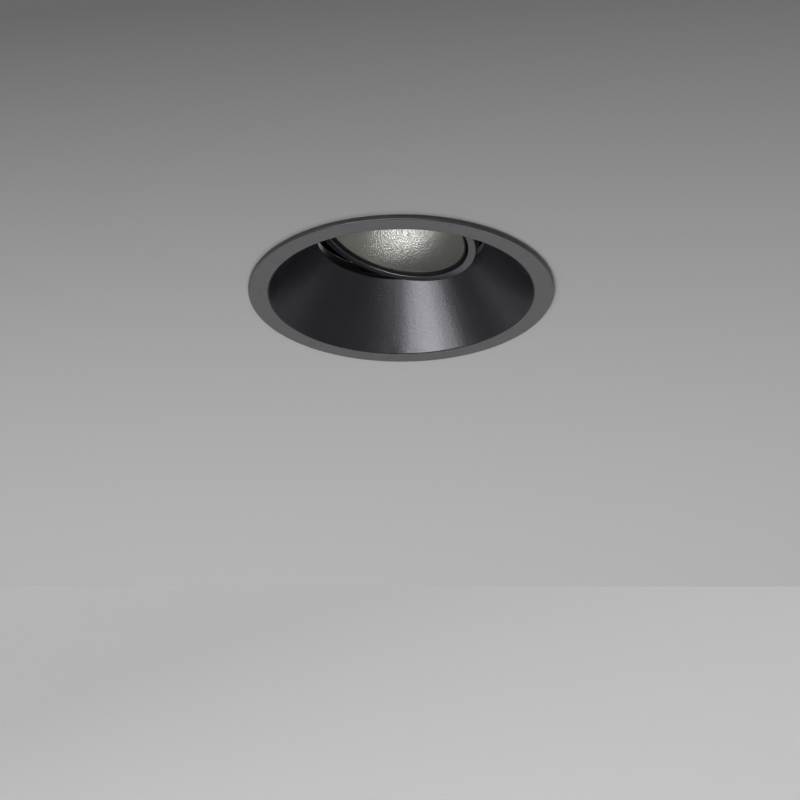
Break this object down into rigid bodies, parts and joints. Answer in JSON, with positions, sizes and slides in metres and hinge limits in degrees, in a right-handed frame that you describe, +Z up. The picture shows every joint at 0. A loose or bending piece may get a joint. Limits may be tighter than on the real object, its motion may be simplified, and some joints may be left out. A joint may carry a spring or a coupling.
{
  "type": "soffit downlight",
  "caption": "Round recessed adjustable downlight with a dark flange, deep glare cone, tilting and swivelling lamp, finned heat sink and sprung fixing clips.",
  "frame": {"origin": "centre of the ceiling plane, where the flange's gasket meets the soffit", "axes": "+Z points up into the ceiling void along the cut-out's axis; +X points to the right-hand spring clip; the room is on -Z"},
  "size_m": [0.1298, 0.11, 0.0939],
  "materials": {
    "trim_coat": "fine textured dark grey powder coat",
    "cone_coat": "satin black-grey powder coat",
    "ring_coat": "satin dark grey powder coat",
    "barrel_black": "satin black anodised",
    "sink_alloy": "turned and etched natural aluminium",
    "bright_steel": "zinc plated",
    "spring_steel": "bright spring steel",
    "yoke_steel": "black zinc plated",
    "swivel_alloy": "grey anodised",
    "seal_rubber": "matt black",
    "slide_polymer": "milky low-friction polymer",
    "reflector_silver": "peened bright silver",
    "clear_glass": "clear toughened",
    "holder_white": "white moulded",
    "board_ceramic": "silvered ceramic face",
    "phosphor": "matt yellow phosphor",
    "pad_grey": "soft grey thermal pad",
    "gland_black": "matt black moulded nylon"
  },
  "bodies": {
    "trim": {"trim_flange": "trim_coat", "trim_cone": "cone_coat", "neck_ring": "swivel_alloy", "ceiling_gasket": "seal_rubber", "glide_ring": "slide_polymer", "friction_ring": "slide_polymer", "retaining_ring": "bright_steel", "retaining_screws": "bright_steel", "clip_bracket_right": "bright_steel", "clip_bracket_left": "bright_steel", "bracket_screws": "bright_steel", "clip_pin_right": "bright_steel", "clip_pin_left": "bright_steel", "pin_clips": "spring_steel", "clip_spring_right": "spring_steel", "clip_spring_left": "spring_steel"},
    "clip_right": {"clip_arm_right": "spring_steel", "clip_pad_right": "seal_rubber"},
    "clip_left": {"clip_arm_left": "spring_steel", "clip_pad_left": "seal_rubber"},
    "swivel": {"swivel_ring": "swivel_alloy", "stop_pin": "bright_steel", "yoke_arm_slotted": "yoke_steel", "yoke_arm_plain": "yoke_steel", "yoke_screws": "bright_steel"},
    "lamp": {"pivot_screws": "bright_steel", "friction_washers": "slide_polymer", "tilt_lock_screw": "bright_steel", "lock_washer": "bright_steel", "lamp_ring": "ring_coat", "ring_seal": "seal_rubber", "lamp_barrel": "barrel_black", "barrel_screws": "bright_steel", "barrel_seal": "seal_rubber", "reflector": "reflector_silver", "led_window": "clear_glass", "led_holder": "holder_white", "holder_screws": "bright_steel", "led_board": "board_ceramic", "led_emitter": "phosphor", "thermal_pad": "pad_grey", "heat_sink": "sink_alloy", "rear_cap": "barrel_black", "rear_cap_screws": "bright_steel", "gland_body": "gland_black", "gland_seal": "seal_rubber", "gland_nut": "gland_black"}
  },
  "joints": [
    {"name": "swivel_turn", "type": "hinge", "parent": "trim", "child": "swivel", "pos_m": [0, 0, 0.0245], "axis": [0, 0, 1], "range_deg": [-175, 175]},
    {"name": "lamp_tilt", "type": "hinge", "parent": "swivel", "child": "lamp", "pos_m": [0, 0, 0.0314], "axis": [-0.1822, 0.9833, 0], "range_deg": [-14, 16]},
    {"name": "clip_right_fold", "type": "hinge", "parent": "trim", "child": "clip_right", "pos_m": [0.0455, 0, 0.025], "axis": [0, -1, 0], "range_deg": [0, 140], "stiffness_Nm_per_rad": 0.1, "springref_deg": -34.38, "deforming": ["clip_spring_right"]},
    {"name": "clip_left_fold", "type": "hinge", "parent": "trim", "child": "clip_left", "pos_m": [-0.0455, 0, 0.025], "axis": [0, 1, 0], "range_deg": [0, 140], "stiffness_Nm_per_rad": 0.1, "springref_deg": -34.38, "deforming": ["clip_spring_left"]}
  ]
}
